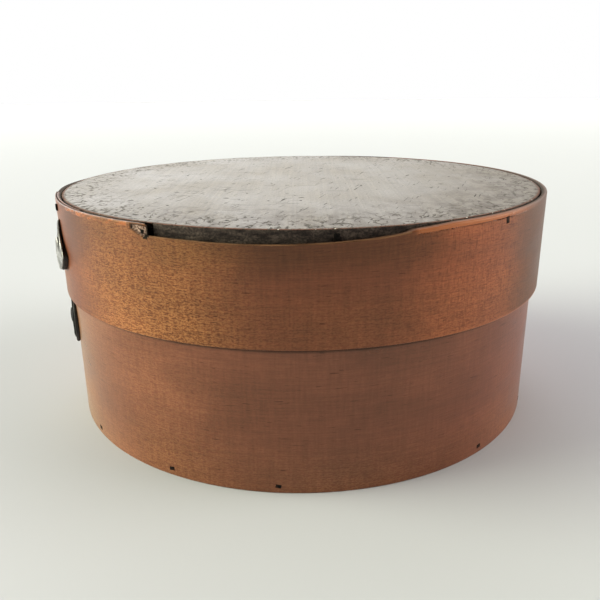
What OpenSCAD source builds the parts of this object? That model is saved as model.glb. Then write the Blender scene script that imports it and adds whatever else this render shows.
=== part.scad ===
// Round bentwood pantry box with a lift-off lid.
// Two thin strips of wood are bent into rings with scarfed laps. A round board is nailed into the
// bottom of one and the top of the other. Angles count from the front (-Y), positive towards +X.
// The origin is the centre of the face that the box stands on.

/* [Body] */
// Outside diameter of the body band
body_d = 205; // [140:1:300]
// Height of the body band
body_h = 87.5; // [75:0.5:140]
// Thickness of the body band
band_t = 2; // [1.8:0.1:3]
// Thickness of the bottom board
bottom_t = 6; // [5:0.5:10]
// Room all round between the bottom board and the body band
bottom_gap = 0.2; // [0.1:0.05:0.5]

/* [Lid] */
// Height of the lid rim
rim_h = 39; // [34:0.5:45]
// Thickness of the lid rim
rim_t = 2.1; // [1.9:0.1:3]
// Room all round between the lid rim and the body band
lid_gap = 0.4; // [0.3:0.05:0.8]
// Thickness of the lid board
lid_t = 6.5; // [5:0.5:10]
// Room all round between the shrunken lid board and the lid rim
lid_board_gap = 0.6; // [0.3:0.05:0.9]
// Worn chamfer along the edges of the strips and boards
worn_edge = 0.4; // [0.2:0.05:0.6]

/* [Lap seams] */
// Length of the lap of each strip, along the ring
lap_len = 50; // [35:1:70]
// Thickness left at each blunt end of a lap
lap_end_t = 0.5; // [0.3:0.05:0.8]
// Width of the seam groove at each end of a lap
seam_w = 0.5; // [0.3:0.05:1]
// Width of the slit between the two layers of a lap
slit_w = 0.1; // [0.08:0.02:0.2]
// Place of the lid rim's lap, round from the front
lid_lap_angle = -63; // [-90:1:-50]
// Place of the body band's lap, round from the front
body_lap_angle = -72; // [-90:1:-50]

/* [Nails] */
// Thickness of a nail's shank
nail_d = 1.2; // [0.8:0.1:1.6]
// Length of a nail under its head
nail_len = 14; // [8:0.5:20]
// Width of a nail's head
nail_head_d = 2.2; // [1.8:0.1:3]
// Thickness of a nail's head
nail_head_t = 0.7; // [0.4:0.1:1.2]
// Number of nails round the lid board
lid_nail_count = 10; // [6:1:16]
// Place of the first lid nail, round from the front
lid_nail_angle = 6; // [0:1:20]
// Depth of the lid nails below the top of the lid
lid_nail_drop = 2; // [1.5:0.1:3]
// Number of nails round the bottom board
bottom_nail_count = 15; // [8:1:20]
// Place of the first bottom nail, round from the front
bottom_nail_angle = -5; // [-12:1:12]
// Height of the bottom nails above the underside
bottom_nail_rise = 2.8; // [2:0.1:3.5]
// Length of a nail's point
nail_tip = 2.5; // [1:0.5:4]
// Room round a nail or tack in its hole
nail_room = 0.03; // [0.02:0.01:0.1]

/* [Seam rivets] */
// Width of the domed rivet cap
cap_d = 19.5; // [12:0.5:20]
// Height of the dome of the cap
cap_h = 1; // [0.8:0.1:2]
// Thickness of the cap at its edge
cap_edge = 0.4; // [0.3:0.1:0.6]
// Width of the leather pad under the lid's cap
lid_pad_d = 20; // [14:0.5:20]
// Width of the leather pad under the body's cap
body_pad_d = 23.5; // [14:0.5:24]
// Thickness of the pad at its middle
pad_t = 1; // [0.8:0.1:2]
// Thickness of the rivet's shank
rivet_d = 3; // [2:0.1:4]
// Width of the rivet's head
rivet_head_d = 6.5; // [5:0.1:8]
// Height of the rivet's head
rivet_head_h = 0.5; // [0.3:0.1:1.5]
// Width of the burr that the rivet is closed over
burr_d = 7; // [6:0.1:8]
// Thickness of the burr
burr_t = 0.5; // [0.4:0.05:0.6]
// Height of the rivet's closed end over the burr
close_h = 0.2; // [0.1:0.05:0.3]
// Room between the pieces of a rivet
rivet_room = 0.05; // [0.03:0.01:0.1]
// Room between the lid rim's lower edge and the pad on the body
rivet_drop = 1.2; // [0.6:0.1:6]
// Height of the lid's rivet above the middle of the rim
lid_rivet_up = 2.4; // [-4:0.1:4]

/* [Seam tacks] */
// Number of tacks down the lid rim's lap
lid_tack_count = 3; // [2:1:5]
// Number of tacks down the body band's lap
body_tack_count = 5; // [3:1:8]
// Thickness of a tack's shank
tack_d = 1; // [0.8:0.1:1.3]
// Width of a tack's head
tack_head_d = 2.6; // [2:0.1:3]
// Thickness of a tack's head
tack_head_t = 0.4; // [0.3:0.05:0.6]
// Distance of the end tacks from the edges of the strip
tack_margin = 8; // [5:0.5:10]
// Distance of the tacks from the outer end of the lap
tack_inset = 4.5; // [3:0.5:6]

/* [Broken rim] */
// Depth of the broken stretch of the rim's top edge
break_depth = 4.2; // [2.5:0.1:4.5]
// Left end of the broken stretch, round from the front
break_left = -28; // [-40:1:-20]
// Right end of the broken stretch, round from the front
break_right = 29; // [20:1:40]
// Depth of the flake missing beside the left end, into the rim
flake_depth = 0.9; // [0.5:0.1:1.2]
// Width of the flake along the rim
flake_w = 7; // [4:0.5:9]

/* [Hidden] */
$fn = 96;
// Sides of a large round that only a small cut takes part of
fine_fn = 720;
// Overshoot of cuts past the faces that they open
cut = 1;

body_r = body_d / 2;
body_in_r = body_r - band_t;
bottom_r = body_in_r - bottom_gap;
rim_in_r = body_r + lid_gap;
rim_r = rim_in_r + rim_t;
lid_board_r = rim_in_r - lid_board_gap;
lid_top = body_h + lid_t;
rim_z = lid_top - rim_h;

body_rivet_z = rim_z - rivet_drop - body_pad_d / 2;
lid_rivet_z = rim_z + rim_h / 2 + lid_rivet_up;
// The body's burr lies on the inner face of the band, clear of its hollow curve
body_burr_drop = band_t + pow(burr_d / 2, 2) / (2 * body_in_r) + rivet_room;
// The lid's burr is let into the rim, so that nothing reaches the body band
lid_burr_drop = rim_t - burr_t - close_h - rivet_room;
burr_recess = rim_t - lid_burr_drop + rivet_room;

// Hand-driven nails stand a little off even spacing, by these angles in turn
lid_nail_wander = [0, 0, -3, -1, 1, 2, -1, 1, 2, 1];
bottom_nail_wander = [0, 0, -2, 1, -1, 2, 0, -2, 1, 0, 2, -1, 1, -1, 1];
// Place in the row of bottom nails where none was driven
bottom_nail_left_out = 1;

// Share of the break's width and of its depth, from its left end to its right end
break_shape = [
    [0.00, 0.00], [0.01, 0.90], [0.12, 0.93], [0.32, 1.00], [0.46, 1.00], [0.60, 0.88],
    [0.72, 0.71], [0.80, 0.52], [0.84, 0.38], [0.86, 0.22], [0.93, 0.13], [1.00, 0.00]
];

// Share of the flake's width, away from the break, and of its depth below the top edge
flake_shape = [[1, 0], [0.9, 0.3], [0.15, 1]];

wood = "#9a6440";
painted = "#4a3c36";
plain_wood = "#a98257";
iron = "#2b2422";
tinned = "#a9a49a";
leather = "#1c1917";

// Angle that an arc of a given length spans
function arc_angle(len, r) = len / r * 180 / PI;

// Point at an angle from the front and a radius, in plan
function plan_point(angle, r) = [r * sin(angle), -r * cos(angle)];

// Puts its children on the side of the box, with their +Z pointing outwards
module on_side(angle, r, z) {
    rotate([0, 0, angle])
        translate([0, -r, z])
            rotate([90, 0, 0])
                children();
}

// Ring of a bent strip with its edges eased
module ring(r_out, t, h) {
    rotate_extrude()
        translate([r_out - t, 0])
            polygon([
                [worn_edge, 0], [t - worn_edge, 0], [t, worn_edge], [t, h - worn_edge],
                [t - worn_edge, h], [worn_edge, h], [0, h - worn_edge], [0, worn_edge]
            ]);
}

// Round board with its edges eased
module board(r, t) {
    rotate_extrude()
        polygon([
            [0, 0], [r - worn_edge, 0], [r, worn_edge], [r, t - worn_edge], [r - worn_edge, t], [0, t]
        ]);
}

// Slit between the two scarfed ends of a strip, with a groove at each blunt end.
// The outer end of the lap is the one furthest round from the front.
module lap_slit(r_out, t, h, angle) {
    half = arc_angle(lap_len, r_out) / 2;
    steps = 16;
    top_r = r_out - lap_end_t;
    low_r = r_out - t + lap_end_t;
    function along(i) = angle - half + 2 * half * i / steps;
    function layer_r(i) = top_r + (low_r - top_r) * i / steps;
    translate([0, 0, -cut])
        linear_extrude(h + 2 * cut) {
            polygon(concat(
                [for (i = [0:steps]) plan_point(along(i), layer_r(i) + slit_w / 2)],
                [for (i = [steps:-1:0]) plan_point(along(i), layer_r(i) - slit_w / 2)]
            ));
            seam_groove(along(0), top_r - slit_w / 2, r_out + cut);
            seam_groove(along(steps), r_out - t - cut, low_r + slit_w / 2);
        }
}

// Plan of the narrow groove that a blunt end leaves in the face of a strip
module seam_groove(angle, r_from, r_to) {
    half = arc_angle(seam_w, r_to) / 2;
    polygon([
        plan_point(angle - half, r_from), plan_point(angle + half, r_from),
        plan_point(angle + half, r_to), plan_point(angle - half, r_to)
    ]);
}

// Small iron nail, with the underside of its head at the origin and its point towards -Z
module nail() {
    rotate_extrude()
        polygon([
            [0, -nail_len], [nail_d / 2, nail_tip - nail_len], [nail_d / 2, 0], [nail_head_d / 2, 0],
            [nail_head_d / 2, nail_head_t / 2], [nail_head_d / 4, nail_head_t], [0, nail_head_t]
        ]);
}

module nail_hole() {
    translate([0, 0, -nail_len - nail_room])
        cylinder(d = nail_d + 2 * nail_room, h = nail_len + nail_room + cut);
}

// Depth of the break below the top edge, at an angle from the front
function break_at(angle) =
    lookup((angle - break_left) / (break_right - break_left), break_shape) * break_depth;

// Puts its children at each nail of the lid. Where the break has bared a nail, its head is on the board.
module at_lid_nails() {
    for (i = [0:lid_nail_count - 1]) {
        wander = lid_nail_wander[i % len(lid_nail_wander)];
        angle = lid_nail_angle + i * 360 / lid_nail_count + wander;
        bared = break_at(angle) > lid_nail_drop + nail_head_d / 2;
        on_side(angle, bared ? lid_board_r + nail_room : rim_r, lid_top - lid_nail_drop)
            children();
    }
}

// Puts its children at each nail of the bottom
module at_bottom_nails() {
    for (i = [0:bottom_nail_count - 1])
        if (i != bottom_nail_left_out) {
            wander = bottom_nail_wander[i % len(bottom_nail_wander)];
            on_side(bottom_nail_angle + i * 360 / bottom_nail_count + wander, body_r, bottom_nail_rise)
                children();
        }
}

// Puts its children at each tack of a lap, near the lap's outer end
module at_tacks(r_out, z_low, h, angle, count) {
    place = angle - arc_angle(lap_len / 2 - tack_inset, r_out);
    pitch = (h - 2 * tack_margin) / (count - 1);
    for (i = [0:count - 1])
        on_side(place, r_out, z_low + tack_margin + i * pitch)
            children();
}

module at_body_tacks() {
    at_tacks(body_r, 0, body_h, body_lap_angle, body_tack_count)
        children();
}

module at_lid_tacks() {
    at_tacks(rim_r, rim_z, rim_h, lid_lap_angle, lid_tack_count)
        children();
}

// Tack through both layers of a lap, with its head let in flush
module tack(strip_t) {
    shank_len = strip_t - nail_room;
    translate([0, 0, -shank_len])
        cylinder(d = tack_d, h = shank_len - nail_room);
    translate([0, 0, -tack_head_t - nail_room])
        cylinder(d = tack_head_d, h = tack_head_t);
}

module tack_hole(strip_t) {
    translate([0, 0, -strip_t - cut])
        cylinder(d = tack_d + 2 * nail_room, h = strip_t + 2 * cut);
    translate([0, 0, -tack_head_t - 2 * nail_room])
        cylinder(d = tack_head_d + 2 * nail_room, h = tack_head_t + cut);
}

// Rivet with its head on the cap, through pad and strip, closed over the burr
module rivet(burr_drop) {
    head_z = pad_t + rivet_room + cap_h + rivet_room;
    close_z = -burr_drop - burr_t - rivet_room;
    rotate_extrude()
        polygon([
            [0, close_z - close_h + rivet_room], [rivet_d / 2, close_z - close_h + rivet_room],
            [rivet_d / 2 + close_h, close_z], [rivet_d / 2, close_z], [rivet_d / 2, head_z],
            [rivet_head_d / 2, head_z], [rivet_head_d / 2, head_z + rivet_head_h / 2],
            [rivet_head_d / 4, head_z + rivet_head_h], [0, head_z + rivet_head_h]
        ]);
}

module rivet_hole(strip_t) {
    translate([0, 0, -strip_t - cut])
        cylinder(d = rivet_d + 2 * rivet_room, h = strip_t + 2 * cut);
}

// Domed cap of pressed metal, flat below, with a flat seat for the rivet's head
module rivet_cap() {
    seat_r = rivet_head_d / 2 + rivet_room;
    rim = cap_d / 2;
    steps = 8;
    function across(i) = seat_r + (rim - seat_r) * i / steps;
    function dome(x) = cap_edge + (cap_h - cap_edge) * (1 - pow((x - seat_r) / (rim - seat_r), 2));
    translate([0, 0, pad_t + rivet_room])
        rotate_extrude()
            polygon(concat(
                [[rim, 0], [rivet_d / 2 + rivet_room, 0], [rivet_d / 2 + rivet_room, cap_h]],
                [for (i = [0:steps]) [across(i), dome(across(i))]]
            ));
}

// Leather pad, flat on top and fitted to the round of the strip below
module rivet_pad(r_out, pad_d) {
    difference() {
        translate([0, 0, -cut])
            cylinder(d = pad_d, h = pad_t + cut);
        translate([0, 0, -r_out])
            rotate([90, 0, 0])
                cylinder(r = r_out + rivet_room, h = 2 * pad_d, center = true, $fn = fine_fn);
        translate([0, 0, -2 * cut])
            cylinder(d = rivet_d + 2 * rivet_room, h = pad_t + 3 * cut);
    }
}

// Washer that the rivet is closed over
module rivet_burr(burr_drop) {
    translate([0, 0, -burr_drop - burr_t])
        difference() {
            cylinder(d = burr_d, h = burr_t);
            translate([0, 0, -cut])
                cylinder(d = rivet_d + 2 * rivet_room, h = burr_t + 2 * cut);
        }
}

module at_body_rivet() {
    on_side(body_lap_angle, body_r, body_rivet_z)
        children();
}

module at_lid_rivet() {
    on_side(lid_lap_angle, rim_r, lid_rivet_z)
        children();
}

// Stretch of the lid rim's top edge that has broken away
module rim_break() {
    function place(share) = rim_r * sin(break_left + share * (break_right - break_left));
    rotate([90, 0, 0])
        linear_extrude(rim_r + cut)
            polygon(concat(
                [for (p = break_shape) [place(p[0]), lid_top - p[1] * break_depth]],
                [[place(1), lid_top + cut], [place(0), lid_top + cut]]
            ));
}

// Three-cornered flake split off the face of the rim beside the break
module rim_flake() {
    on_side(break_left, rim_r, lid_top)
        translate([0, 0, -flake_depth])
            linear_extrude(flake_depth + cut)
                polygon(concat(
                    [[cut, -break_depth], [cut, -worn_edge]],
                    [for (p = flake_shape) [-p[0] * flake_w, -worn_edge - p[1] * (break_depth - worn_edge)]]
                ));
}

module body_band() {
    color(wood)
        difference() {
            ring(body_r, band_t, body_h);
            lap_slit(body_r, band_t, body_h, body_lap_angle);
            at_bottom_nails() nail_hole();
            at_body_tacks() tack_hole(band_t);
            at_body_rivet() rivet_hole(band_t);
        }
}

module bottom_board() {
    color(plain_wood)
        difference() {
            board(bottom_r, bottom_t);
            at_bottom_nails() nail_hole();
        }
}

module bottom_nails() {
    color(iron)
        at_bottom_nails() nail();
}

module body_seam_tacks() {
    color(iron)
        at_body_tacks() tack(band_t);
}

module body_rivet() {
    color(tinned)
        at_body_rivet() rivet(body_burr_drop);
}

module body_rivet_cap() {
    color(tinned)
        at_body_rivet() rivet_cap();
}

module body_rivet_pad() {
    color(leather)
        at_body_rivet() rivet_pad(body_r, body_pad_d);
}

module body_rivet_burr() {
    color(tinned)
        at_body_rivet() rivet_burr(body_burr_drop);
}

module lid_rim() {
    color(wood)
        difference() {
            translate([0, 0, rim_z])
                ring(rim_r, rim_t, rim_h);
            translate([0, 0, rim_z])
                lap_slit(rim_r, rim_t, rim_h, lid_lap_angle);
            rim_break();
            rim_flake();
            at_lid_nails() nail_hole();
            at_lid_tacks() tack_hole(rim_t);
            at_lid_rivet() rivet_hole(rim_t);
            at_lid_rivet()
                translate([0, 0, -rim_t - cut])
                    cylinder(d = burr_d + 2 * rivet_room, h = burr_recess + cut);
        }
}

module lid_board() {
    color(painted)
        difference() {
            translate([0, 0, body_h])
                board(lid_board_r, lid_t);
            at_lid_nails() nail_hole();
        }
}

module lid_nails() {
    color(iron)
        at_lid_nails() nail();
}

module lid_seam_tacks() {
    color(iron)
        at_lid_tacks() tack(rim_t);
}

module lid_rivet() {
    color(tinned)
        at_lid_rivet() rivet(lid_burr_drop);
}

module lid_rivet_cap() {
    color(tinned)
        at_lid_rivet() rivet_cap();
}

module lid_rivet_pad() {
    color(leather)
        at_lid_rivet() rivet_pad(rim_r, lid_pad_d);
}

module lid_rivet_burr() {
    color(tinned)
        at_lid_rivet() rivet_burr(lid_burr_drop);
}

body_band();
bottom_board();
bottom_nails();
body_seam_tacks();
body_rivet();
body_rivet_cap();
body_rivet_pad();
body_rivet_burr();
lid_rim();
lid_board();
lid_nails();
lid_seam_tacks();
lid_rivet();
lid_rivet_cap();
lid_rivet_pad();
lid_rivet_burr();
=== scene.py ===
import math
import random

import bmesh
import bpy
from mathutils import Matrix, Vector, noise


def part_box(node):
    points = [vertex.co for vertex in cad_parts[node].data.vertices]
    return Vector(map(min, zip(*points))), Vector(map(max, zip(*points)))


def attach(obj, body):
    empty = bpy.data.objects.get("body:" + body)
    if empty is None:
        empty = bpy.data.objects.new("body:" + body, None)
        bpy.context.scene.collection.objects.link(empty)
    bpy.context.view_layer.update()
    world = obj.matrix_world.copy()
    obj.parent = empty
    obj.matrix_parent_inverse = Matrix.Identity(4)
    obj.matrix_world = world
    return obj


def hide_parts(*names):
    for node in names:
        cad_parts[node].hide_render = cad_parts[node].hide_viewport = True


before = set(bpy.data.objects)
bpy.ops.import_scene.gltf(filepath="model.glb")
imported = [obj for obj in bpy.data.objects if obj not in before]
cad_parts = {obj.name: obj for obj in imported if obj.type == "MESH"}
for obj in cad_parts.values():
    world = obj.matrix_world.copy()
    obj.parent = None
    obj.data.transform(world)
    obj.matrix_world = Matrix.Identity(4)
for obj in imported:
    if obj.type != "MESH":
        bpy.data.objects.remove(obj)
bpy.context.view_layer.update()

# The studio: a plain pale floor in a white room. Soft light comes low from both sides, stronger from the
# left, with some from behind and above and none from the camera's side. The camera stands close to the
# box, a little above its lid.
mm = 0.001
scene = bpy.context.scene
scene.view_settings.view_transform = "Standard"

camera = bpy.data.objects.new("camera", bpy.data.cameras.new("camera"))
scene.collection.objects.link(camera)
scene.camera = camera
look_down = math.radians(18.77)
lean = math.radians(-0.57)
camera.data.sensor_width = 36
camera.data.lens = 38.4
camera.data.shift_x = -0.0036
camera.location = (0, -292.5 * mm, 136 * mm)
turn = Matrix.Rotation(math.pi / 2 - look_down, 3, "X") @ Matrix.Rotation(lean, 3, "Z")
camera.rotation_euler = turn.to_euler()


def add_node(tree, kind, inputs=None, **settings):
    """A shader node with its settings, whose inputs take values or other nodes' outputs."""
    node = tree.nodes.new(kind)
    for name, value in settings.items():
        setattr(node, name, value)
    for name, value in (inputs or {}).items():
        if isinstance(value, bpy.types.NodeSocket):
            tree.links.new(value, node.inputs[name])
        else:
            node.inputs[name].default_value = value
    return node


def number(tree, operation, *values):
    """A number worked out of others, each a value or another node's output."""
    return add_node(tree, "ShaderNodeMath", dict(enumerate(values)), operation=operation).outputs[0]


def ramp(tree, factor, stops):
    """A grey or coloured ramp over a factor, from (place, value or colour) stops."""
    node = add_node(tree, "ShaderNodeValToRGB", {0: factor})
    while len(node.color_ramp.elements) < len(stops):
        node.color_ramp.elements.new(1)
    for element, (place, colour) in zip(node.color_ramp.elements, stops):
        element.position = place
        element.color = (*colour, 1) if isinstance(colour, tuple) else (colour, colour, colour, 1)
    return node.outputs[0]


world = bpy.data.worlds.new("white_room")
scene.world = world
world.use_nodes = True
room = world.node_tree
room.nodes.clear()
toward = add_node(room, "ShaderNodeTexCoord").outputs["Generated"]


def toward_light(light_bearing, light_height):
    """The way to a light, from its bearing round from the front and its height, in degrees."""
    turn = Matrix.Rotation(math.radians(light_bearing), 3, "Z")
    return turn @ Matrix.Rotation(math.radians(-light_height), 3, "X") @ Vector((0, -1, 0))


# Bearing from the front, height, strength and colour of each soft patch of light in the room
left, right, white = (1, 1.04, 0.82), (1, 0.93, 0.82), (1, 1, 0.98)
room_lights = [
    (-90, 8, 2.5, left), (-90, 35, 2.4, left), (-60, 8, 2.2, left), (-120, 8, 2.4, white),
    (-150, 8, 2.4, white), (180, 8, 0.8, white), (180, 35, 2.5, white), (150, 15, 0.45, right),
    (120, 8, 1.6, white), (90, 8, 2.0, right), (90, 35, 1.8, right)
]
light_sharpness = 12.0
sum_of_light = (0.02, 0.02, 0.02)
for light_bearing, light_height, strength, colour in room_lights:
    ways = {0: toward, 1: toward_light(light_bearing, light_height)}
    facing = add_node(room, "ShaderNodeVectorMath", ways, operation="DOT_PRODUCT").outputs["Value"]
    patch = number(room, "POWER", number(room, "MAXIMUM", facing, 0.0), light_sharpness)
    parts = {0: patch, 1: strength * Vector(colour), 2: sum_of_light}
    sum_of_light = add_node(room, "ShaderNodeVectorMath", parts, operation="MULTIPLY_ADD").outputs[0]

# The two strong side lights are wide lamps that light the wood but don't mirror in the lid's gloss
side_lamps = [("left_lamp", -90, 6.5, left), ("right_lamp", 90, 3.0, right)]
lamp_height, lamp_spread = 8, math.radians(44)
for name, lamp_bearing, strength, colour in side_lamps:
    lamp = bpy.data.lights.new(name, "SUN")
    lamp.energy = strength
    lamp.color = colour
    lamp.angle = lamp_spread
    stand = bpy.data.objects.new(name, lamp)
    stand.rotation_euler = toward_light(lamp_bearing, lamp_height).to_track_quat("Z", "Y").to_euler()
    stand.visible_glossy = False
    scene.collection.objects.link(stand)
lit = add_node(room, "ShaderNodeBackground", {"Color": sum_of_light, "Strength": 1.0})
seen = add_node(room, "ShaderNodeBackground", {"Color": (1, 1, 1, 1), "Strength": 1.0})
is_seen = add_node(room, "ShaderNodeLightPath").outputs["Is Camera Ray"]
both = add_node(room, "ShaderNodeMixShader", {0: is_seen, 1: lit.outputs[0], 2: seen.outputs[0]})
add_node(room, "ShaderNodeOutputWorld", {"Surface": both.outputs[0]})


def mesh_object(name, bm, *materials):
    """A new object for a finished mesh, smooth but for its sharp edges."""
    crease = math.radians(38)
    for face in bm.faces:
        face.smooth = True
    for edge in bm.edges:
        edge.smooth = edge.is_manifold and edge.calc_face_angle(0) < crease
    mesh = bpy.data.meshes.new(name)
    bm.to_mesh(mesh)
    bm.free()
    for material in materials:
        mesh.materials.append(material)
    made = bpy.data.objects.new(name, mesh)
    scene.collection.objects.link(made)
    return made


def new_material(name):
    """A new material with its shader nodes and its principled shader."""
    material = bpy.data.materials.new(name)
    material.use_nodes = True
    return material, material.node_tree, material.node_tree.nodes["Principled BSDF"]


floor_paint, floor_tree, floor_shader = new_material("floor_paint")
floor_place = add_node(floor_tree, "ShaderNodeTexCoord").outputs["Object"]
away = add_node(floor_tree, "ShaderNodeVectorMath", {0: floor_place}, operation="LENGTH").outputs["Value"]
floor_r = 5.0
# The floor's paint is darker near the box and lighter towards its far edge, a painted shading that fades it
# into the white room
near_tint, far_tint = (0.57, 0.58, 0.63), (0.7, 0.71, 0.78)
floor_share = number(floor_tree, "DIVIDE", away, floor_r)
floor_tint = ramp(floor_tree, floor_share, [(0.08, near_tint), (0.5, far_tint)])
floor_tree.links.new(floor_tint, floor_shader.inputs["Base Color"])
floor_shader.inputs["Roughness"].default_value = 0.9
floor_shader.inputs["Specular IOR Level"].default_value = 0.1
floor_mesh = bmesh.new()
bmesh.ops.create_circle(floor_mesh, cap_ends=True, segments=96, radius=floor_r)
floor = mesh_object("floor", floor_mesh, floor_paint)

# The wall of the box: one thin strip of hardwood, steamed and bent into a ring. Its ends are shaved thin
# and lapped, so the outer end shows as a fine upright step, and the outside has an old shellac finish.


def round_size(node):
    """Inner and outer radius, and lowest and highest z, of a round CAD node."""
    points = [vertex.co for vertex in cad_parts[node].data.vertices]
    spans = [point.xy.length for point in points]
    heights = [point.z for point in points]
    return min(spans), max(spans), min(heights), max(heights)


def bearing(node):
    """Angle of a CAD node round the box from the front, and the height of its middle."""
    low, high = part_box(node)
    middle = (low + high) / 2
    return math.atan2(middle.x, -middle.y), middle.z


def share(value, start, end):
    """How far a value has gone from start to end, eased at both."""
    way = min(max((value - start) / (end - start), 0), 1)
    return way * way * (3 - 2 * way)


def spaced(start, *stretches):
    """Places along a line from a start, in stretches of (end, step)."""
    places = [start]
    for end, step in stretches:
        begin = places[-1]
        count = max(1, round((end - begin) / step))
        places += [begin + (end - begin) * i / count for i in range(1, count + 1)]
    return places


# The lap's length, the thickness at its shaved ends, the slit between its layers and the turn over which the
# strip eases into it, then the rounding of a strip's edges and its wobble
lap_len = 50 * mm
lap_end = 0.5 * mm
lap_slit = 0.05 * mm
lap_ease = math.radians(12)
edge_ease = 0.35 * mm
strip_wobble = 0.1 * mm


def flat_strip(places, rows, thickness):
    """A flat strip of wood, its length along X, its width along Y and its outer face up, with eased edges.
    Its grain is laid out on a UV map in metres, and its inner face is marked."""
    bm = bmesh.new()
    columns, levels = len(places) - 1, len(rows) - 1
    bmesh.ops.create_grid(bm, x_segments=columns, y_segments=levels, size=0.5)
    for vertex in bm.verts:
        column = round((vertex.co.x + 0.5) * columns)
        level = round((vertex.co.y + 0.5) * levels)
        vertex.co = (places[column], rows[level], 0)
    bmesh.ops.solidify(bm, geom=bm.faces[:], thickness=thickness)
    lowest = min(vertex.co.z for vertex in bm.verts)
    bmesh.ops.translate(bm, vec=(0, 0, -lowest), verts=bm.verts[:])
    bmesh.ops.recalc_face_normals(bm, faces=bm.faces[:])
    corners = [edge for edge in bm.edges if edge.calc_face_angle(0) > math.radians(60)]
    bmesh.ops.bevel(bm, geom=corners, offset=edge_ease, segments=3, profile=0.5, affect="EDGES", material=-1)
    grain = bm.loops.layers.uv.new("grain")
    inside = bm.verts.layers.float.new("inside")
    for name in ("bare", "darkening", "flaked", "figure_and_glow", "crazing_and_glow", "rubbed_and_highlit", "painted_shade", "painted_sheen"):
        bm.verts.layers.float.new(name)
    for face in bm.faces:
        for loop in face.loops:
            loop[grain].uv = loop.vert.co.xy
    for vertex in bm.verts:
        vertex[inside] = 1 - vertex.co.z / thickness
    return bm


def bend_round(bm, r_in, r_out, low, lap_angle):
    """Bends a flat strip into a ring round the box, its outer end lapped over its inner end."""
    lap = lap_len / r_out
    start = lap_angle - lap / 2
    outer_seat, inner_seat = r_out - lap_end, r_in + lap_end
    for vertex in bm.verts:
        along = vertex.co.x / r_out
        over, under = along / lap, (along - 2 * math.pi) / lap
        if over < 1:
            inner = outer_seat + (inner_seat - outer_seat) * over + lap_slit
        else:
            inner = r_in + lap_end * (1 - share(along, lap, lap + lap_ease))
        if under > 0:
            outer = outer_seat + (inner_seat - outer_seat) * under - lap_slit
        else:
            outer = r_out - lap_end * share(along, 2 * math.pi - lap_ease, 2 * math.pi)
        r = inner + (outer - inner) * vertex.co.z / (r_out - r_in)
        angle = start + along
        spot = Vector((r * math.sin(angle), -r * math.cos(angle), low + vertex.co.y))
        r += strip_wobble * noise.noise(spot * 22)
        vertex.co = (r * math.sin(angle), -r * math.cos(angle), low + vertex.co.y)


def mixed(tree, factor, a, b, way="MIX"):
    """Two colours mixed by a factor."""
    node = add_node(tree, "ShaderNodeMix", {0: factor, 6: a, 7: b}, data_type="RGBA", blend_type=way)
    return node.outputs[2]


def tinted(tree, colour, tint):
    """A colour multiplied by another."""
    return mixed(tree, 1.0, colour, tint, "MULTIPLY")


def drawn_noise(tree, coordinates, size, detail=3.0, warp=0.0, turned=0.0):
    """Noise whose features have a given size along each axis, turned about Z."""
    scale = tuple(1 / length for length in size)
    laid = add_node(tree, "ShaderNodeMapping", {"Vector": coordinates, "Rotation": (0, 0, turned)})
    laid = add_node(tree, "ShaderNodeMapping", {"Vector": laid.outputs[0], "Scale": scale})
    inputs = {"Vector": laid.outputs[0], "Scale": 1.0, "Detail": detail, "Distortion": warp}
    return add_node(tree, "ShaderNodeTexNoise", inputs).outputs[0]


def mark(tree, name):
    """How strongly a piece's own mesh carries a mark, from 0 to 1."""
    return add_node(tree, "ShaderNodeAttribute", attribute_name=name).outputs["Fac"]


def add_relief(tree, shader, height, strength, depth):
    """Fine relief on a material's face, raised where a height is large."""
    inputs = {"Height": height, "Strength": strength, "Distance": depth}
    bump = add_node(tree, "ShaderNodeBump", inputs)
    tree.links.new(bump.outputs[0], shader.inputs["Normal"])


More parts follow.
